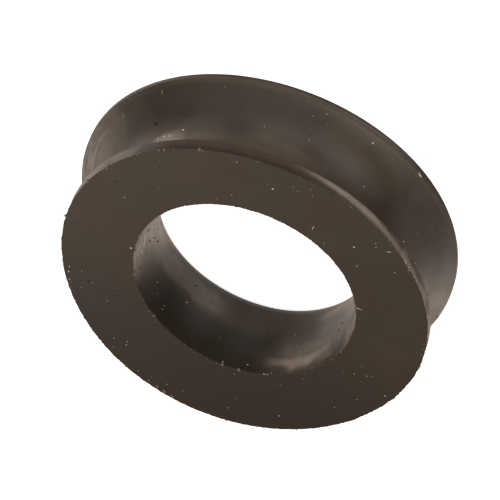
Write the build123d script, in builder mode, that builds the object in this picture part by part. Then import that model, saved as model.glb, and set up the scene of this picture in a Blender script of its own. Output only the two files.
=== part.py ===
from build123d import *
import os

# A moulded rubber ring seal, of the kind that sits in the mouth of a hose coupling.
# It lies on its rear lip with +Z along its axis: the rear face is at z = 0 and the
# flat sealing face, the one that is cut clean after moulding, is on top.

# Driving dimensions, in millimetres
height = 8.8
front_diameter = 33.0
rear_diameter = 34.2
bore_diameter = 20.0
groove_diameter = 28.2
flange_thickness = 1.3
groove_depth_below_face = 3.3
rear_lip_thickness = 0.45

# Edges, in millimetres
bore_rear_chamfer = 0.5
flange_back_radius = 0.25

# Places in the section, worked out from the sizes above
front_radius = front_diameter / 2
rear_radius = rear_diameter / 2
bore_radius = bore_diameter / 2
groove_radius = groove_diameter / 2
flange_back_z = height - flange_thickness
groove_z = height - groove_depth_below_face
groove_front_arc = flange_back_z - groove_z

with BuildPart() as ring_seal:
    # The section is one closed outline: bore, sealing face, flange, groove, flare, lip
    with BuildSketch(Plane.XZ) as section:
        with BuildLine() as outline:
            bore_and_flange = Polyline(
                (rear_radius, rear_lip_thickness),
                (rear_radius, 0),
                (bore_radius, 0),
                (bore_radius, height),
                (front_radius, height),
                (front_radius, flange_back_z),
                (groove_radius + groove_front_arc, flange_back_z),
            )
            groove_front = TangentArc(
                (groove_radius, groove_z),
                (groove_radius + groove_front_arc, flange_back_z),
                tangent=(0, 1),
            )
            flare = TangentArc(
                (groove_radius, groove_z),
                (rear_radius, rear_lip_thickness),
                tangent=(0, -1),
            )
        make_face()
    revolve(axis=Axis.Z)

    # The flange's moulded back edge is round; the lip and the edges of the cut face stay sharp
    circles = ring_seal.edges().filter_by(GeomType.CIRCLE)
    bore_rear_edge = circles.group_by(Axis.Z)[0].sort_by(SortBy.RADIUS)[0]
    flange_edges = circles.filter_by(lambda edge: abs(edge.radius - front_radius) < 1e-6)
    flange_back_edge = flange_edges.sort_by(Axis.Z)[0]
    chamfer(bore_rear_edge, length=bore_rear_chamfer)
    fillet(flange_back_edge, radius=flange_back_radius)

ring_seal.part.label = "ring_seal"

os.makedirs("parts", exist_ok=True)
export_step(ring_seal.part, "parts/ring_seal.step")
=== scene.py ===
import bmesh
import bpy
import math
from mathutils import Matrix, Vector, noise
from mathutils.bvhtree import BVHTree


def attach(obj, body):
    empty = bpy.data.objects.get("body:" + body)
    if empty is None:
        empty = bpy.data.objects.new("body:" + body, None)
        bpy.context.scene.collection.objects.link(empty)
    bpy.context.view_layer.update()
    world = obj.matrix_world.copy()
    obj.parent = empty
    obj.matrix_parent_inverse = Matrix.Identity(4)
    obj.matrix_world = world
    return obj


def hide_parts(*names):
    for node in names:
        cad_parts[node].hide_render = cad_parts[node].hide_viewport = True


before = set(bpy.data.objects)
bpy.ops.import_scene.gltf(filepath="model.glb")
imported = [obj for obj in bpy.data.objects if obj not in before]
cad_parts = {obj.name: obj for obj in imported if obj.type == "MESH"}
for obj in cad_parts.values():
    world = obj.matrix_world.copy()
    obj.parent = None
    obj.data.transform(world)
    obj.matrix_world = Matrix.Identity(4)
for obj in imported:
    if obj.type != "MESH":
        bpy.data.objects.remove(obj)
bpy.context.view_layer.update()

# The viewpoint. A long lens looks at the cut face from 48 degrees off the ring's axis, and is
# rolled so that the face leans to the lower left. The ring itself lies flat on its rear lip.
MM = 0.001
ring_height = 8.8
flange_radius = 16.5
picture_size = 500
lens_in_pixels = 4500
face_centre_in_picture = (241.3, 293.3)
flange_radius_in_picture = 192.35
tilt_off_axis = math.radians(48.0)
heading_of_axis = math.radians(-65.74)

axis_rearwards = Vector((
    math.sin(tilt_off_axis) * math.cos(heading_of_axis),
    math.sin(tilt_off_axis) * math.sin(heading_of_axis),
    math.cos(tilt_off_axis),
))
towards_lens = Vector((0, 0, -1))
near_side = (towards_lens - towards_lens.dot(axis_rearwards) * axis_rearwards).normalized()
turn_to_object = Matrix((near_side.cross(axis_rearwards), -near_side, -axis_rearwards))
pixels_per_mm = flange_radius_in_picture / flange_radius
face_centre_from_lens = Vector((
    (face_centre_in_picture[0] - picture_size / 2) / pixels_per_mm,
    (face_centre_in_picture[1] - picture_size / 2) / pixels_per_mm,
    lens_in_pixels / pixels_per_mm,
))
lens_place = Vector((0, 0, ring_height)) - turn_to_object @ face_centre_from_lens
picture_axes_to_camera = Matrix(((1, 0, 0), (0, -1, 0), (0, 0, -1)))
camera_data = bpy.data.cameras.new("camera")
camera_data.sensor_width = 36
camera_data.lens = camera_data.sensor_width * lens_in_pixels / picture_size
camera_data.clip_start = 0.01
camera_data.clip_end = 10
camera = bpy.data.objects.new("camera", camera_data)
camera_turn = turn_to_object @ picture_axes_to_camera
camera.matrix_world = Matrix.Translation(lens_place * MM) @ camera_turn.to_4x4()
bpy.context.scene.collection.objects.link(camera)
bpy.context.scene.camera = camera

# The ring is one piece of dark brown-black rubber, moulded with its groove and flared rear lip. Its
# front face is cut flat, which leaves both edges of the face ragged. It is made as its section
# swept round the axis. Its edges are a little out of round and off centre, as in the photograph.
rear_radius = 17.1
bore_radius = 10.0
groove_radius = 14.1
flange_thickness = 1.3
groove_below_face = 3.3
lip_thickness = 0.45
flange_back_radius = 0.25
bore_rear_chamfer = 0.5
bore_bulge = 0.45
torn_depth = 0.35
torn_width = 0.12
bore_front_shift_near = 0.41
bore_front_shift_side = 0.08
rear_shift_side = -0.36
steps_round_ring = 960
edge_step = 0.02
fine_strip = 0.5


def steps(start, end, count, squeeze=1.0):
    """Points from start to end, without the start; squeeze above 1 packs them near the start."""
    return [tuple(s + (e - s) * (i / count) ** squeeze for s, e in zip(start, end))
            for i in range(1, count + 1)]


def bend(centre, radius, first, last, count):
    """Points on an arc from first to last, in degrees, without the start."""
    turns = [math.radians(first + (last - first) * i / count) for i in range(1, count + 1)]
    return [(centre[0] + radius * math.cos(t), centre[1] + radius * math.sin(t)) for t in turns]


def bore_wall(start, end, count):
    """Points up the bore's wall, which bulges inwards by a little at its middle."""
    middle = (bore_rear_chamfer + ring_height) / 2
    reach = ring_height - middle
    wall = []
    for _, height in steps((0, start), (0, end), count):
        wall.append((bore_radius - bore_bulge * (1 - ((height - middle) / reach) ** 2), height))
    return wall


def ring_section():
    """The closed outline of the ring's section, as (radius, height), from the bore's rear edge on."""
    flange_back = ring_height - flange_thickness
    back = (flange_radius - flange_back_radius, flange_back + flange_back_radius)
    groove_height = ring_height - groove_below_face
    front_arc = flange_back - groove_height
    reach, drop = rear_radius - groove_radius, groove_height - lip_thickness
    flare = (reach ** 2 + drop ** 2) / (2 * reach)
    flare_end = 180 + math.degrees(math.atan2(drop, flare - reach))
    outline = [(bore_radius + bore_rear_chamfer, 0)]
    outline += steps(outline[-1], (bore_radius, bore_rear_chamfer), 3)
    outline += bore_wall(bore_rear_chamfer, ring_height - fine_strip, 14)
    outline += bore_wall(ring_height - fine_strip, ring_height - edge_step, 5)
    outline += [(bore_radius, ring_height), (bore_radius + edge_step, ring_height)]
    outline += steps(outline[-1], (bore_radius + fine_strip, ring_height), 4, 1.5)
    outline += steps(outline[-1], (flange_radius - fine_strip, ring_height), 9)
    outline += steps(outline[-1], (flange_radius - edge_step, ring_height), 5)
    outline += [(flange_radius, ring_height)]
    outline += [(flange_radius, ring_height - edge_step)]
    outline += steps(outline[-1], (flange_radius, back[1]), 8)
    outline += bend(back, flange_back_radius, 0, -90, 4)
    outline += bend((groove_radius + front_arc, groove_height), front_arc, 90, 180, 8)
    outline += bend((groove_radius + flare, groove_height), flare, 180, flare_end, 20)
    outline += steps(outline[-1], (rear_radius, edge_step), 2)
    outline += [(rear_radius, 0)]
    outline += steps(outline[-1], (bore_radius + bore_rear_chamfer, 0), 5)[:-1]
    return outline


def add(tree, kind, inputs=None, **settings):
    """Adds a node; an input may be a value or another node's output."""
    made = tree.nodes.new(kind)
    for name, value in settings.items():
        setattr(made, name, value)
    for key, value in (inputs or {}).items():
        if isinstance(value, bpy.types.NodeSocket):
            tree.links.new(value, made.inputs[key])
        else:
            made.inputs[key].default_value = value
    return made


def calc(tree, operation, *inputs):
    """A Math node's result."""
    return add(tree, "ShaderNodeMath", dict(enumerate(inputs)), operation=operation).outputs[0]


def new_geometry_tree(name, numbers):
    """A Geometry Nodes tree with one geometry in and out, and named numbers (name, kind) as inputs."""
    tree = bpy.data.node_groups.new(name, "GeometryNodeTree")
    tree.interface.new_socket("Geometry", in_out="INPUT", socket_type="NodeSocketGeometry")
    tree.interface.new_socket("Geometry", in_out="OUTPUT", socket_type="NodeSocketGeometry")
    for label, kind in numbers:
        tree.interface.new_socket(label, in_out="INPUT", socket_type="NodeSocket" + kind)
    return tree, tree.nodes.new("NodeGroupInput"), tree.nodes.new("NodeGroupOutput")


def grown(name, source, tree, numbers):
    """Runs a tree on a source object and keeps the result as a plain mesh object at the origin."""
    modifier = source.modifiers.new(name, "NODES")
    modifier.node_group = tree
    for item in tree.interface.items_tree:
        if item.in_out == "INPUT" and item.name in numbers:
            modifier[item.identifier] = numbers[item.name]
    evaluated = source.evaluated_get(bpy.context.evaluated_depsgraph_get())
    mesh = bpy.data.meshes.new_from_object(evaluated)
    mesh.name = name
    source.modifiers.remove(modifier)
    made = bpy.data.objects.new(name, mesh)
    bpy.context.scene.collection.objects.link(made)
    return made


def ripple(tree, angle, lobes, size, phase):
    """size * cos(lobes * angle - phase), with the phase in degrees: one way of being out of round."""
    turned = calc(tree, "MULTIPLY_ADD", angle, float(lobes), -math.radians(phase))
    return calc(tree, "MULTIPLY", calc(tree, "COSINE", turned), size * MM)


def between(tree, value, low, high, at_low=0.0, at_high=1.0, kind="SMOOTHSTEP"):
    """A Map Range node's result."""
    return add(tree, "ShaderNodeMapRange", {"Value": value, "From Min": low, "From Max": high,
               "To Min": at_low, "To Max": at_high}, interpolation_type=kind).outputs["Result"]


def mixed(tree, share, low, high):
    """low where the share is 0, high where it is 1."""
    return calc(tree, "MULTIPLY_ADD", share, calc(tree, "SUBTRACT", high, low), low)


def new_material(name):
    """An empty Principled material, with the Object coordinates."""
    made = bpy.data.materials.new(name)
    made.use_nodes = True
    tree = made.node_tree
    coordinates = tree.nodes.new("ShaderNodeTexCoord").outputs["Object"]
    return made, tree, tree.nodes["Principled BSDF"], coordinates


def cloud(tree, where, scale, detail=3.0, roughness=0.55):
    """A Noise texture's value."""
    return add(tree, "ShaderNodeTexNoise", {"Vector": where, "Scale": scale, "Detail": detail,
               "Roughness": roughness}).outputs[0]


def blended(tree, amount, low, high):
    """A colour between low and high."""
    made = add(tree, "ShaderNodeMix", {"Factor": amount}, data_type="RGBA")
    for socket, colour in ((made.inputs[6], low), (made.inputs[7], high)):
        if isinstance(colour, bpy.types.NodeSocket):
            tree.links.new(colour, socket)
        else:
            socket.default_value = (*colour, 1.0)
    return made.outputs[2]


def diagonal(tree, one, other):
    """How far apart the ends of two sides are that meet at a right angle."""
    squares = calc(tree, "ADD", calc(tree, "MULTIPLY", one, one), calc(tree, "MULTIPLY", other, other))
    return calc(tree, "SQRT", squares)


def around_ring(tree, where):
    """The angle round the axis in degrees, 0 at -Y and 90 at -X, the distance from it and the height."""
    spot = add(tree, "ShaderNodeSeparateXYZ", {0: where})
    left = calc(tree, "MULTIPLY", spot.outputs[0], -1.0)
    near = calc(tree, "MULTIPLY", spot.outputs[1], -1.0)
    angle = calc(tree, "MULTIPLY", calc(tree, "ARCTAN2", left, near), 180 / math.pi)
    return angle, diagonal(tree, left, near), spot.outputs[2]


def window(tree, value, first, last, soft):
    """1 between two values, fading to 0 over soft outside them."""
    rise = between(tree, value, first - soft, first)
    fall = between(tree, value, last, last + soft, 1.0, 0.0)
    return calc(tree, "MULTIPLY", rise, fall)


def times(tree, *factors):
    """The product of masks."""
    product = factors[0]
    for factor in factors[1:]:
        product = calc(tree, "MULTIPLY", product, factor)
    return product


skin = (0.036, 0.0270, 0.0190)
greyer_skin = (0.045, 0.0365, 0.0290)
greener_skin = (0.038, 0.0310, 0.0210)
torn_brown = (0.042, 0.0270, 0.0165)
shade_line_black = (0.012, 0.0065, 0.0035)
highlight_and_wear_grey = (0.258, 0.2270, 0.1980)
torn_and_lit_pale = (0.460, 0.4000, 0.3450)
bore_shade_black = (0.015, 0.0105, 0.0065)
highlight_and_film_grey = (0.360, 0.3050, 0.2650)
flange_side_from, flange_side_full = 15.9, 16.1
flange_back_from, flange_back_full = 7.42, 7.55
bore_wall_full, bore_wall_end = 10.6, 10.9
angle_wander = 30.0
height_wander = 2.0
streak_stretch = (0.12, 0.12, 1.0)

moulded_rubber, tree, shader, where = new_material("moulded_rubber")
angle, away, height = around_ring(tree, where)
mottle = cloud(tree, where, 350.0)
hue = cloud(tree, where, 190.0, 1.0)
grain = cloud(tree, where, 5200.0, 4.0, 0.7)
blotches = cloud(tree, where, 800.0, 4.0, 0.6)
wander = calc(tree, "SUBTRACT", cloud(tree, where, 230.0, 1.0), 0.5)
sink = calc(tree, "SUBTRACT", cloud(tree, where, 410.0, 1.0), 0.5)
loose_angle = calc(tree, "MULTIPLY_ADD", wander, angle_wander, angle)
loose_far_angle = calc(tree, "WRAP", loose_angle, 360.0, 0.0)
loose_height = calc(tree, "MULTIPLY_ADD", sink, height_wander * MM, height)
colour = blended(tree, between(tree, mottle, 0.35, 0.65), skin, greyer_skin)
colour = blended(tree, between(tree, hue, 0.4, 0.6, 0.0, 0.5), colour, greener_skin)
on_side = times(tree, between(tree, away, flange_side_from * MM, flange_side_full * MM),
                between(tree, height, flange_back_from * MM, flange_back_full * MM))
below_cut = calc(tree, "DIVIDE", calc(tree, "SUBTRACT", ring_height * MM, height), MM)
flicker = calc(tree, "SUBTRACT", cloud(tree, where, 900.0, 3.0), 0.5)
wavering = calc(tree, "MULTIPLY_ADD", flicker, 0.5, below_cut)

# The skin beside the cut is torn and dull on one stretch, with a thin line of painted shade along the cut.
# On the next it is pale in a band that slants from the flange's back edge to the cut, as the highlight
# there does: painted highlight on worn skin, as are the pale ends of the flange's side. Angles are in
# degrees, depths in millimetres.
torn_stretch = times(tree, on_side, between(tree, loose_angle, -54.0, -40.0),
                     between(tree, angle, 2.0, 4.0, 1.0, 0.0), between(tree, wavering, 0.5, 1.25, 1.0, 0.35))
# Painted shade: a thin near-black line along the cut on this stretch.
painted_shade_line = times(tree, on_side, window(tree, angle, -36.0, 2.0, 10.0),
                  window(tree, wavering, 0.0, 0.25, 0.3))
slant_per_degree = 0.021
line_place = calc(tree, "MULTIPLY_ADD", angle, slant_per_degree, calc(tree, "SUBTRACT", wavering, 1.2))
highlight_band = times(tree, on_side, window(tree, angle, 12.0, 60.0, 16.0),
                       window(tree, line_place, -0.1, 0.1, 0.5), between(tree, blotches, 0.3, 0.6, 0.7, 1.0),
                       between(tree, angle, 24.0, 36.0, 1.0, 0.8))
highlight_end = times(tree, on_side, window(tree, angle, 46.0, 90.0, 18.0),
                   between(tree, blotches, 0.42, 0.6, 0.1, 0.85),
                   between(tree, wavering, 0.4, 1.2, 1.0, 0.45))
highlight_left = times(tree, on_side, window(tree, angle, -93.0, -58.0, 12.0),
                    between(tree, blotches, 0.42, 0.6, 0.1, 0.45))
highlight_and_wear = calc(tree, "MAXIMUM", calc(tree, "MAXIMUM", highlight_band, highlight_end), highlight_left)
colour = blended(tree, times(tree, torn_stretch, 0.9), colour, torn_brown)
colour = blended(tree, times(tree, painted_shade_line, 0.85), colour, shade_line_black)
colour = blended(tree, times(tree, highlight_and_wear, 0.9), colour, highlight_and_wear_grey)
# Further round, a thin jagged pale line along the cut is painted highlight on the torn edge.
jagged = between(tree, cloud(tree, where, 3200.0, 2.0), 0.5, 0.58)
painted_highlight_line = times(tree, on_side, window(tree, angle, 44.0, 100.0, 6.0),
                  window(tree, wavering, 0.0, 0.1, 0.12), jagged)
colour = blended(tree, times(tree, painted_highlight_line, 0.8), colour, torn_and_lit_pale)

# The front half of the bore is painted dark on its far side: painted shade.
in_bore = between(tree, away, bore_wall_full * MM, bore_wall_end * MM, 1.0, 0.0)
depth = calc(tree, "MULTIPLY_ADD", calc(tree, "SUBTRACT", mottle, 0.5), 1.2, below_cut)
painted_bore_shade = times(tree, in_bore, window(tree, loose_far_angle, 160.0, 226.0, 20.0),
              between(tree, depth, 3.6, 5.2, 1.0, 0.0))
colour = blended(tree, times(tree, painted_bore_shade, 0.9), colour, bore_shade_black)


def painted_light_mark(strength, first, last, fade, low, high, height_fade, outside=True):
    """Where a painted highlight lies on the skin: angles in degrees, heights and their fade in millimetres.
    """
    sector = window(tree, loose_angle if outside else loose_far_angle, first, last, fade)
    level = window(tree, loose_height, low * MM, high * MM, height_fade * MM)
    side = calc(tree, "SUBTRACT", 1.0, in_bore) if outside else in_bore
    return times(tree, sector, level, side, strength)


stretched = add(tree, "ShaderNodeVectorMath", {0: where, 1: streak_stretch}, operation="MULTIPLY").outputs[0]
streaks = between(tree, cloud(tree, stretched, 3400.0, 4.0), 0.46, 0.62, 0.1, 2.2)
# All marks below but the last two are painted highlights and reflections where the skin catches the lamps.
painted_light_and_film_marks = {
    "flare behind the highlight band": painted_light_mark(0.045, 12, 28, 12, 0.0, 2.5, 1.2),
    "brightest spot in the groove": painted_light_mark(0.45, -58, -50, 8, 4.4, 5.6, 0.7),
    "strip along the groove": painted_light_mark(0.11, -46, 2, 12, 4.6, 5.6, 0.9),
    "lip at the left end": painted_light_mark(0.13, -92, -76, 12, -1, 2.0, 1.8),
    "streaks left of the lip's left end": times(tree, painted_light_mark(0.16, -108, -88, 10, -1, 2.4, 1.2), streaks),
    "lip at the right end": painted_light_mark(0.42, 92, 100, 18, -1, 1.4, 1.8),
    "painted highlight on a ridge in the bore": painted_light_mark(0.20, 190, 222, 14, 2.1, 3.4, 1.1, False),
    "bore's rear, left": painted_light_mark(0.75, 246, 268, 24, -1, 2.4, 3.5, False),
    "bore's rear, right": painted_light_mark(0.65, 110, 120, 12, -1, 1.5, 1.8, False),
    "bore's front edge, right": painted_light_mark(0.55, 60, 84, 14, 7.6, 9.0, 1.1, False),
    "painted highlight by the bore's front edge": painted_light_mark(0.16, 122, 138, 10, 6.4, 7.6, 1.2, False),
    "streak through that place": painted_light_mark(0.45, 122, 140, 12, 7.3, 7.6, 0.7, False),
    "bore's front, left": painted_light_mark(0.38, 258, 280, 20, 3.0, 9.0, 2.5, False),
    "streaks along it": times(tree, painted_light_mark(0.42, 262, 280, 18, 4.0, 9.0, 2.5, False), streaks),
    "rear lip's outer edge": times(tree, window(tree, height, 0.3 * MM, 0.6 * MM, 0.15 * MM),
                                   between(tree, away, 16.5 * MM, 16.8 * MM), 0.05),
    "faint pale film all over": times(tree, calc(tree, "SUBTRACT", 1.0, painted_bore_shade), 0.019),
}
painted_highlights_and_film = 0.0
for mark in painted_light_and_film_marks.values():
    painted_highlights_and_film = calc(tree, "ADD", painted_highlights_and_film, mark)
painted_highlights_and_film = times(tree, painted_highlights_and_film, between(tree, blotches, 0.3, 0.7, 0.8, 1.15))
colour = blended(tree, calc(tree, "MINIMUM", painted_highlights_and_film, 1.0), colour, highlight_and_film_grey)
tree.links.new(colour, shader.inputs["Base Color"])
rough = between(tree, mottle, 0.3, 0.7, 0.32, 0.42)
rough = mixed(tree, calc(tree, "MAXIMUM", torn_stretch, painted_shade_line), rough, 0.75)
rough = mixed(tree, highlight_and_wear, rough, 0.5)
tree.links.new(rough, shader.inputs["Roughness"])
bump = add(tree, "ShaderNodeBump", {"Height": grain, "Strength": 0.25, "Distance": 0.03 * MM})
tree.links.new(bump.outputs[0], shader.inputs["Normal"])

# The cut face is duller than the moulded skin, and painted darker on its far half: painted shade.
cut_skin = (0.040, 0.0290, 0.0200)
redder_cut_skin = (0.046, 0.0345, 0.0250)
greener_cut_skin = (0.039, 0.0320, 0.0222)
shaded_cut_skin = (0.024, 0.0165, 0.0110)
cut_rubber, tree, shader, where = new_material("cut_rubber")
mottle = cloud(tree, where, 260.0)
hue = cloud(tree, where, 150.0, 1.0)
grain = cloud(tree, where, 6500.0, 4.0, 0.7)
colour = blended(tree, between(tree, mottle, 0.35, 0.65), cut_skin, redder_cut_skin)
colour = blended(tree, between(tree, hue, 0.4, 0.6, 0.0, 0.5), colour, greener_cut_skin)
towards_far = add(tree, "ShaderNodeSeparateXYZ", {0: where}).outputs[1]
painted_far_shade = between(tree, towards_far, -2.0 * MM, 13.0 * MM)
colour = blended(tree, times(tree, painted_far_shade, 0.8), colour, shaded_cut_skin)
tree.links.new(colour, shader.inputs["Base Color"])
shader.inputs["Roughness"].default_value = 0.6
bump = add(tree, "ShaderNodeBump", {"Height": grain, "Strength": 0.35, "Distance": 0.04 * MM})
tree.links.new(bump.outputs[0], shader.inputs["Normal"])

section = bpy.data.curves.new("ring_section", "CURVE")
section.dimensions = "3D"
spline = section.splines.new("POLY")
outline = ring_section()
spline.points.add(len(outline) - 1)
for point, (radius, height) in zip(spline.points, outline):
    point.co = (radius * MM, height * MM, 0, 1)
spline.use_cyclic_u = True
section_object = bpy.data.objects.new("ring_section", section)
bpy.context.scene.collection.objects.link(section_object)

tree, given, result = new_geometry_tree("ring_from_section", [
    ("Steps round", "Int"), ("Height", "Float"), ("Bore radius", "Float"), ("Flange radius", "Float"),
    ("Torn depth", "Float"), ("Torn width", "Float")])
place = add(tree, "ShaderNodeSeparateXYZ", {0: tree.nodes.new("GeometryNodeInputPosition").outputs[0]})
held = add(tree, "GeometryNodeCaptureAttribute", {0: given.outputs["Geometry"]}, domain="POINT")
held.capture_items.new("FLOAT", "radius")
held.capture_items.new("FLOAT", "height")
tree.links.new(place.outputs[0], held.inputs["radius"])
tree.links.new(place.outputs[1], held.inputs["height"])
circle = add(tree, "GeometryNodeCurvePrimitiveCircle",
             {"Resolution": given.outputs["Steps round"], "Radius": 1.0})
turned = add(tree, "GeometryNodeCaptureAttribute", {0: circle.outputs[0]}, domain="POINT")
turned.capture_items.new("FLOAT", "turn")
step = calc(tree, "DIVIDE", tree.nodes.new("GeometryNodeInputIndex").outputs[0], given.outputs["Steps round"])
tree.links.new(calc(tree, "MULTIPLY", step, 2 * math.pi), turned.inputs["turn"])
swept = add(tree, "GeometryNodeCurveToMesh", {"Curve": turned.outputs[0], "Profile Curve": held.outputs[0]})
turn, radius, height = turned.outputs["turn"], held.outputs["radius"], held.outputs["height"]

front = calc(tree, "DIVIDE", height, given.outputs["Height"])
outside = between(tree, radius, given.outputs["Bore radius"], given.outputs["Flange radius"], kind="LINEAR")

flange_rim = calc(tree, "ADD", ripple(tree, turn, 3, 0.18, 184), ripple(tree, turn, 2, 0.035, 48))
rear_rim = ripple(tree, turn, 3, 0.145, 143)
bore_front = calc(tree, "ADD", ripple(tree, turn, 3, 0.077, 165), ripple(tree, turn, 2, 0.044, 217))
bore_rear = calc(tree, "ADD", ripple(tree, turn, 2, 0.088, -90), ripple(tree, turn, 3, 0.046, 90))
out_of_round = mixed(tree, outside, mixed(tree, front, bore_rear, bore_front),
                     mixed(tree, front, rear_rim, flange_rim))

around = add(tree, "ShaderNodeCombineXYZ",
             {0: calc(tree, "COSINE", turn), 1: calc(tree, "SINE", turn), 2: height})
tears = calc(tree, "SUBTRACT", cloud(tree, around.outputs[0], 55.0, 5.0, 0.65), 0.5)
below_face = calc(tree, "SUBTRACT", given.outputs["Height"], height)


def torn(tree, edge_radius):
    """How much a point belongs to a cut edge, from 1 on the edge to 0 well away from it."""
    span = diagonal(tree, calc(tree, "SUBTRACT", radius, edge_radius), below_face)
    fading = calc(tree, "MULTIPLY", given.outputs["Torn width"], -1.0)
    return calc(tree, "EXPONENT", calc(tree, "DIVIDE", span, fading))


outer_tear = calc(tree, "MULTIPLY", torn(tree, given.outputs["Flange radius"]), tears)
inner_tear = calc(tree, "MULTIPLY", torn(tree, given.outputs["Bore radius"]), tears)
ragged = calc(tree, "MULTIPLY", calc(tree, "SUBTRACT", outer_tear, inner_tear), given.outputs["Torn depth"])
true_radius = calc(tree, "ADD", calc(tree, "ADD", radius, out_of_round), ragged)
bore_share = calc(tree, "MULTIPLY", calc(tree, "SUBTRACT", 1.0, outside), front)
rear_share = calc(tree, "SUBTRACT", 1.0, front)
near_shift = calc(tree, "MULTIPLY", bore_share, bore_front_shift_near * MM)
side_shift = calc(tree, "MULTIPLY_ADD", bore_share, bore_front_shift_side * MM,
                  calc(tree, "MULTIPLY", rear_share, rear_shift_side * MM))
towards_near = calc(tree, "ADD", calc(tree, "MULTIPLY", true_radius, calc(tree, "COSINE", turn)), near_shift)
towards_side = calc(tree, "ADD", calc(tree, "MULTIPLY", true_radius, calc(tree, "SINE", turn)), side_shift)
placed = add(tree, "ShaderNodeCombineXYZ", {0: calc(tree, "MULTIPLY", towards_side, -1.0),
             1: calc(tree, "MULTIPLY", towards_near, -1.0), 2: height})
shaped = add(tree, "GeometryNodeSetPosition", {"Geometry": swept.outputs[0], "Position": placed.outputs[0]})
outwards = add(tree, "GeometryNodeFlipFaces", {"Mesh": shaped.outputs[0]})
real = add(tree, "GeometryNodeRealizeInstances", {0: outwards.outputs[0]})
moulded = add(tree, "GeometryNodeSetMaterial", {"Geometry": real.outputs[0], "Material": moulded_rubber})
face_tolerance = 0.001 * MM
on_face = calc(tree, "GREATER_THAN", height, calc(tree, "SUBTRACT", given.outputs["Height"], face_tolerance))
cut = add(tree, "GeometryNodeSetMaterial",
          {"Geometry": moulded.outputs[0], "Selection": on_face, "Material": cut_rubber})
tree.links.new(cut.outputs[0], result.inputs[0])

ring = grown("moulded_ring", section_object, tree, {
    "Steps round": steps_round_ring, "Height": ring_height * MM, "Bore radius": bore_radius * MM,
    "Flange radius": flange_radius * MM, "Torn depth": torn_depth * MM, "Torn width": torn_width * MM})
bpy.data.objects.remove(section_object)
ring.data.polygons.foreach_set("use_smooth", [True] * len(ring.data.polygons))
ring.data.update()
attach(ring, "root")
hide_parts("ring_seal")

# Crumbs of torn rubber cling to both edges of the cut face, where the skin tore beside the cut. Each
# is a rough grain. Places near the edges are picked by chance, and each gets one crumb.
torn_dark = (0.05, 0.041, 0.034)
torn_light = (0.24, 0.205, 0.175)
rim_strip = 0.15
bore_strip = 0.1
crumb_material, tree, shader, where = new_material("torn_rubber")
speckle = cloud(tree, where, 9000.0, 2.0)
colour = blended(tree, between(tree, speckle, 0.35, 0.65), torn_dark, torn_light)
tree.links.new(colour, shader.inputs["Base Color"])
shader.inputs["Roughness"].default_value = 0.8


def chance(tree, low, high, seed, kind="FLOAT"):
    """A Random Value node's result, for each point."""
    made = add(tree, "FunctionNodeRandomValue", data_type=kind)
    at, out = (2, 1) if kind == "FLOAT" else (0, 0)
    for socket, value in ((at, low), (at + 1, high)):
        made.inputs[socket].default_value = value
    if isinstance(seed, bpy.types.NodeSocket):
        tree.links.new(seed, made.inputs[8])
    else:
        made.inputs[8].default_value = seed
    return made.outputs[out]


def grains(tree, points, given, material, result):
    """Puts a rough grain on each point, mostly small ones and a few large, and ends the tree."""
    one_turn = 6.28
    lump_scale = 14000.0
    lump_height = 0.12 * MM
    ball = add(tree, "GeometryNodeMeshIcoSphere", {"Radius": 1.0, "Subdivisions": 2})
    luck = chance(tree, 0.0, 1.0, given.outputs["Seed"])
    rare = calc(tree, "POWER", luck, 4.0)
    size = mixed(tree, rare, given.outputs["Smallest"], given.outputs["Largest"])
    lengthen = chance(tree, (0.7, 0.7, 0.5), (1.3, 1.3, 1.0), 5, "FLOAT_VECTOR")
    scale = add(tree, "ShaderNodeVectorMath", {0: lengthen, "Scale": size}, operation="SCALE")
    turn = chance(tree, (0.0, 0.0, 0.0), (one_turn, one_turn, one_turn), 9, "FLOAT_VECTOR")
    strewn = add(tree, "GeometryNodeInstanceOnPoints", {"Points": points, "Instance": ball.outputs[0],
                 "Rotation": turn, "Scale": scale.outputs[0]})
    real = add(tree, "GeometryNodeRealizeInstances", {0: strewn.outputs[0]})
    uneven = add(tree, "ShaderNodeTexNoise", {"Scale": lump_scale, "Detail": 1.0})
    push = add(tree, "ShaderNodeVectorMath",
               {0: uneven.outputs["Color"], 1: (0.5, 0.5, 0.5)}, operation="SUBTRACT")
    offset = add(tree, "ShaderNodeVectorMath", {0: push.outputs[0], "Scale": lump_height}, operation="SCALE")
    rough = add(tree, "GeometryNodeSetPosition", {"Geometry": real.outputs[0], "Offset": offset.outputs[0]})
    coated = add(tree, "GeometryNodeSetMaterial", {"Geometry": rough.outputs[0], "Material": material})
    tree.links.new(coated.outputs[0], result.inputs[0])


tree, given, result = new_geometry_tree("crumbs_on_edges", [
    ("Share of places", "Float"), ("Smallest", "Float"), ("Largest", "Float"), ("Seed", "Int"),
    ("Face height", "Float"), ("Bore radius", "Float"), ("Flange radius", "Float")])
spot = add(tree, "ShaderNodeSeparateXYZ", {0: tree.nodes.new("GeometryNodeInputPosition").outputs[0]})
away = diagonal(tree, spot.outputs[0], spot.outputs[1])
face_from = calc(tree, "SUBTRACT", given.outputs["Face height"], rim_strip * MM)
rim_from = calc(tree, "SUBTRACT", given.outputs["Flange radius"], rim_strip * MM)
bore_to = calc(tree, "ADD", given.outputs["Bore radius"], bore_strip * MM)
on_top = calc(tree, "GREATER_THAN", spot.outputs[2], face_from)
at_rim = calc(tree, "GREATER_THAN", away, rim_from)
at_bore = calc(tree, "LESS_THAN", away, bore_to)
picked = calc(tree, "LESS_THAN", chance(tree, 0.0, 1.0, 3), given.outputs["Share of places"])
kept = times(tree, on_top, calc(tree, "MAXIMUM", at_rim, at_bore), picked)
points = add(tree, "GeometryNodeMeshToPoints", {"Mesh": given.outputs["Geometry"], "Selection": kept})
grains(tree, points.outputs[0], given, crumb_material, result)
bare_ring = bpy.data.objects.new("bare_ring", ring.data)
bpy.context.scene.collection.objects.link(bare_ring)
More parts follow.
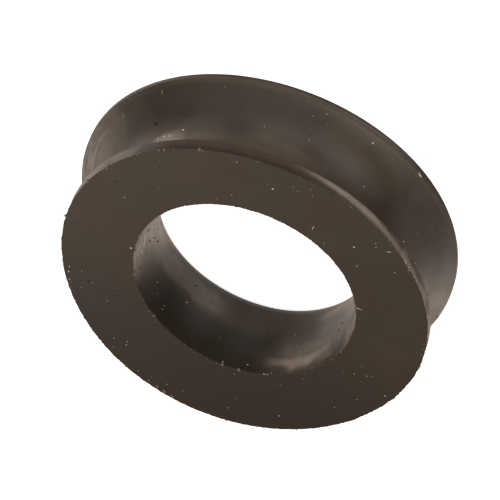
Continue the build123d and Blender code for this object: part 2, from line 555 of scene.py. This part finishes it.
crumbs = grown("edge_crumbs", bare_ring, tree, {
    "Share of places": 0.022, "Smallest": 0.03 * MM, "Largest": 0.16 * MM, "Seed": 4,
    "Face height": ring_height * MM, "Bore radius": bore_radius * MM, "Flange radius": flange_radius * MM})
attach(crumbs, "root")

# Dust lies all over the ring: pale grains, most of them too small to see one by one. They are
# strewn by chance over its surface, apart from the part that it lies on.
dust_dark = (0.20, 0.18, 0.16)
dust_light = (0.60, 0.57, 0.53)
floor_gap = 0.1
square_mm_in_metre = 1.0e6
dust_material, tree, shader, where = new_material("pale_dust")
speckle = cloud(tree, where, 7000.0, 1.0)
colour = blended(tree, between(tree, speckle, 0.3, 0.7), dust_dark, dust_light)
tree.links.new(colour, shader.inputs["Base Color"])
shader.inputs["Roughness"].default_value = 0.9


def strewn_grains(name, material, per_square_mm, smallest, largest, seed):
    """Grains strewn by chance all over the ring, but not under it."""
    tree, given, result = new_geometry_tree(name, [
        ("Grains per square mm", "Float"), ("Smallest", "Float"), ("Largest", "Float"), ("Seed", "Int")])
    spot = add(tree, "ShaderNodeSeparateXYZ", {0: tree.nodes.new("GeometryNodeInputPosition").outputs[0]})
    off_floor = calc(tree, "GREATER_THAN", spot.outputs[2], floor_gap * MM)
    per_square_metre = calc(tree, "MULTIPLY", given.outputs["Grains per square mm"], square_mm_in_metre)
    points = add(tree, "GeometryNodeDistributePointsOnFaces", {"Mesh": given.outputs["Geometry"],
                 "Density": calc(tree, "MULTIPLY", per_square_metre, off_floor),
                 "Seed": given.outputs["Seed"]}, distribute_method="RANDOM")
    grains(tree, points.outputs[0], given, material, result)
    made = grown(name, bare_ring, tree, {"Grains per square mm": per_square_mm, "Smallest": smallest * MM,
                 "Largest": largest * MM, "Seed": seed})
    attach(made, "root")


strewn_grains("dust_grains", dust_material, 0.2, 0.01, 0.07, 11)

# Chips of torn rubber, fibres and dark specks lie on the ring. Most are small and strewn by chance.
# Those that catch the eye in the photograph are rough lumps, set on the surface where it shows them.
# The pale lumps at the groove's bright spot and in the bore's streaks are painted highlights: glints
# of light made as pale grains.
chip_and_glint_dark = (0.38, 0.35, 0.31)
chip_and_glint_light = (0.90, 0.87, 0.83)
speck_black = (0.004, 0.0025, 0.0015)
speck_brown = (0.014, 0.010, 0.007)
lump_unevenness = 0.3
lump_seed = 5
chip_and_glint_material, tree, shader, where = new_material("pale_chip_and_glint")
speckle = cloud(tree, where, 12000.0, 2.0)
colour = blended(tree, between(tree, speckle, 0.35, 0.65), chip_and_glint_dark, chip_and_glint_light)
tree.links.new(colour, shader.inputs["Base Color"])
shader.inputs["Roughness"].default_value = 0.7
dark_material, tree, shader, where = new_material("dark_speck")
speckle = cloud(tree, where, 12000.0, 2.0)
colour = blended(tree, between(tree, speckle, 0.35, 0.65), speck_black, speck_brown)
tree.links.new(colour, shader.inputs["Base Color"])
shader.inputs["Roughness"].default_value = 0.8
strewn_grains("strewn_chips", chip_and_glint_material, 0.03, 0.03, 0.12, 23)
strewn_grains("strewn_specks", dark_material, 0.02, 0.03, 0.11, 31)
bpy.data.objects.remove(bare_ring)
ring_surface = BVHTree.FromPolygons([vertex.co for vertex in ring.data.vertices],
                                    [face.vertices for face in ring.data.polygons])
noise.seed_set(lump_seed)


def lumps(name, marks, material):
    """Rough lumps at named points of the picture: (across, down, length, width, turn in the picture)."""
    made = bmesh.new()
    for across, down, length, width, turn in marks.values():
        ray = turn_to_object @ Vector(((across - picture_size / 2) / lens_in_pixels,
                                       (down - picture_size / 2) / lens_in_pixels, 1))
        spot, normal = ring_surface.ray_cast(lens_place * MM, ray.normalized())[:2]
        turn = math.radians(turn)
        along = turn_to_object @ Vector((math.cos(turn), math.sin(turn), 0))
        along = (along - along.dot(normal) * normal).normalized()
        beside = normal.cross(along)
        turned = Matrix((along, beside, normal)).transposed().to_4x4()
        sized = Matrix.Diagonal((length / 2 * MM, width / 2 * MM, width / 2.6 * MM, 1))
        placed = Matrix.Translation(spot) @ turned @ sized
        lump = bmesh.ops.create_icosphere(made, subdivisions=2, radius=1, matrix=placed)
        for vertex in lump["verts"]:
            vertex.co += noise.noise_vector(vertex.co * 9000) * width * lump_unevenness * MM
    mesh = bpy.data.meshes.new(name)
    made.to_mesh(mesh)
    made.free()
    mesh.materials.append(material)
    piece = bpy.data.objects.new(name, mesh)
    bpy.context.scene.collection.objects.link(piece)
    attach(piece, "root")


lumps("chips_and_glints", {
    "long chip on the lip": (420, 175, 0.62, 0.10, 62),
    "speck on the flare": (373, 143, 0.17, 0.15, 0),
    "glint behind the groove's bright spot": (183, 130, 0.2, 0.16, 0),
    "groove's bright spot, left": (158, 139, 0.26, 0.07, 100),
    "groove's bright spot, middle": (164, 137, 0.3, 0.09, 105),
    "groove's bright spot, right": (169, 136, 0.26, 0.09, 105),
    "upright fibre on the flare, left": (123, 115, 0.6, 0.03, 88),
    "upright fibre on the flare, right": (162, 92, 0.5, 0.03, 90),
    "nib at the bore's left edge": (131, 248, 0.22, 0.12, 80),
    "fibre at the bore's right edge": (359, 309, 0.66, 0.06, 12),
    "nib at the bore's right edge": (341, 352, 0.13, 0.1, 0),
    "chip at the bore's near edge": (264, 374, 0.16, 0.1, 20),
    "slanting fibre on the face": (313, 228, 0.56, 0.055, -65),
    "level fibre on the face": (389, 252, 0.42, 0.06, -8),
    "speck on the face, left": (354, 247, 0.15, 0.12, 0),
    "speck on the face, right": (376, 247, 0.12, 0.1, 0),
    "speck on the face, low": (357, 266, 0.12, 0.1, 0),
    "chip by the face's near rim": (385, 396, 0.18, 0.1, 0),
    "bore's first streak, top": (152, 225, 0.9, 0.13, -64),
    "bore's first streak, upper": (149, 231, 0.8, 0.15, -62),
    "bore's first streak, lower": (146, 237, 0.9, 0.12, -68),
    "bore's first streak, end": (144, 243, 0.6, 0.10, -70),
    "bore's second streak, top": (158, 221, 0.7, 0.11, -56),
    "bore's second streak, end": (155, 228, 0.6, 0.10, -60),
    "bore's last fleck": (142, 251, 0.4, 0.14, -70),
}, chip_and_glint_material)
lumps("dark_specks", {
    "speck in the bore, left": (141, 268, 0.17, 0.14, 0),
    "speck in the bore, middle": (196, 286, 0.2, 0.15, 0),
    "speck in the bore, low": (212, 302, 0.16, 0.13, 0),
    "speck in the bore, right": (342, 323, 0.2, 0.12, 60),
    "nick at the bore's near edge": (328, 359, 0.18, 0.12, 0),
    "speck under the first streak": (150, 241, 0.2, 0.14, 0),
    "speck between the streaks": (154, 238, 0.18, 0.13, 0),
    "speck under the second streak": (158, 229, 0.2, 0.14, 0),
    "speck by the second streak's top": (162, 222, 0.18, 0.12, 0),
}, dark_material)
lumps("torn_nibs", {
    "first nib at the torn place": (149, 380, 0.25, 0.16, 40),
    "second nib at the torn place": (157, 386, 0.4, 0.2, 35),
    "third nib at the torn place": (164, 391, 0.35, 0.22, 30),
    "last nib at the torn place": (172, 396, 0.3, 0.2, 20),
}, crumb_material)

# The floor is a plain white sheet that light passes through, as on a light table, so it shows to
# the camera only and hides none of the lights below it.
floor_size = 2.0
half = floor_size / 2
floor_corners = [(-half, -half, 0), (half, -half, 0), (half, half, 0), (-half, half, 0)]
floor_mesh = bpy.data.meshes.new("floor")
floor_mesh.from_pydata(floor_corners, [], [(0, 1, 2, 3)])
floor = bpy.data.objects.new("floor", floor_mesh)
bpy.context.scene.collection.objects.link(floor)
white_sheet, tree, shader, where = new_material("white_sheet")
shader.inputs["Base Color"].default_value = (0.9, 0.9, 0.9, 1)
shader.inputs["Emission Color"].default_value = (1, 1, 1, 1)
shader.inputs["Emission Strength"].default_value = 0.85
floor_mesh.materials.append(white_sheet)
floor.visible_glossy = False
floor.visible_diffuse = False
floor.visible_shadow = False

# The light is a small tent: soft round lamps close to the ring on all sides, also from below. Their
# places and brightnesses were fitted to the light in the photograph and then rounded. Heading 0 is
# the near side, -Y, and 90 is +X; the brightness of a lamp is that of its disk.
lamp_reach = 80 * MM
lamp_colour = (1.0, 0.88, 0.78)
fill_brightness = 0.12
ring_middle = Vector((0, 0, ring_height / 2 * MM))


def soft_lamp(name, heading, rise, across, brightness, reach=lamp_reach):
    """A round lamp facing the ring; heading and rise in degrees, across in millimetres."""
    data = bpy.data.lights.new(name, "AREA")
    data.shape = "DISK"
    data.size = across * MM
    data.color = lamp_colour
    data.energy = brightness * math.pi ** 2 * (data.size / 2) ** 2
    heading, rise = math.radians(heading), math.radians(rise)
    way = Vector((math.sin(heading) * math.cos(rise), -math.cos(heading) * math.cos(rise), math.sin(rise)))
    lamp = bpy.data.objects.new(name, data)
    lamp.location = ring_middle + way * reach
    lamp.rotation_euler = way.to_track_quat("Z", "Y").to_euler()
    lamp.visible_camera = False
    bpy.context.scene.collection.objects.link(lamp)


soft_lamp("near_right", 14, -4, 45, 1.45)
soft_lamp("near_left", -19, 10, 45, 1.3)
soft_lamp("near_left_low", -27, -10, 45, 1.1)
soft_lamp("near_high", 34, 35, 120, 0.6)
soft_lamp("right_near", 58, -14, 45, 1.2)
soft_lamp("right_low", 91, -23, 45, 1.2)
soft_lamp("right_under", 79, -35, 45, 0.5)
soft_lamp("far_right", 131, 6, 45, 1.3)
soft_lamp("far_right_wide", 131, 6, 120, 0.45)
soft_lamp("far_right_low", 123, -33, 45, 0.85)
soft_lamp("far_right_high", 139, 39, 45, 1.3)
soft_lamp("far_right_small", 150, 20, 25, 3.6)
soft_lamp("far_left", -124, 17, 45, 1.9)
soft_lamp("far_left_low", -132, -21, 45, 1.0)
soft_lamp("left", -101, 1, 120, 0.45)
soft_lamp("left_close", -110, -5, 25, 0.7, 60 * MM)
soft_lamp("left_high", -58, 42, 45, 0.75, 65 * MM)
soft_lamp("top", -31, 63, 45, 2.3)
soft_lamp("top_right", 60, 75, 30, 3.0, 55 * MM)
soft_lamp("under_left", -34, -56, 45, 0.95)
soft_lamp("under_near", 26, -46, 45, 0.7)
soft_lamp("under_far", -172, -59, 120, 0.65)
soft_lamp("under_far_core", -172, -59, 45, 0.55)

world = bpy.data.worlds.new("studio")
world.use_nodes = True
tree = world.node_tree
fill = tree.nodes["Background"]
fill.inputs["Strength"].default_value = fill_brightness
fill.inputs["Color"].default_value = (*lamp_colour, 1)
white = add(tree, "ShaderNodeBackground", {"Color": (1, 1, 1, 1), "Strength": 1.0})
seen = add(tree, "ShaderNodeLightPath").outputs["Is Camera Ray"]
either = add(tree, "ShaderNodeMixShader", {0: seen, 1: fill.outputs[0], 2: white.outputs[0]})
tree.links.new(either.outputs[0], tree.nodes["World Output"].inputs["Surface"])
bpy.context.scene.world = world
bpy.context.scene.view_settings.view_transform = "Standard"
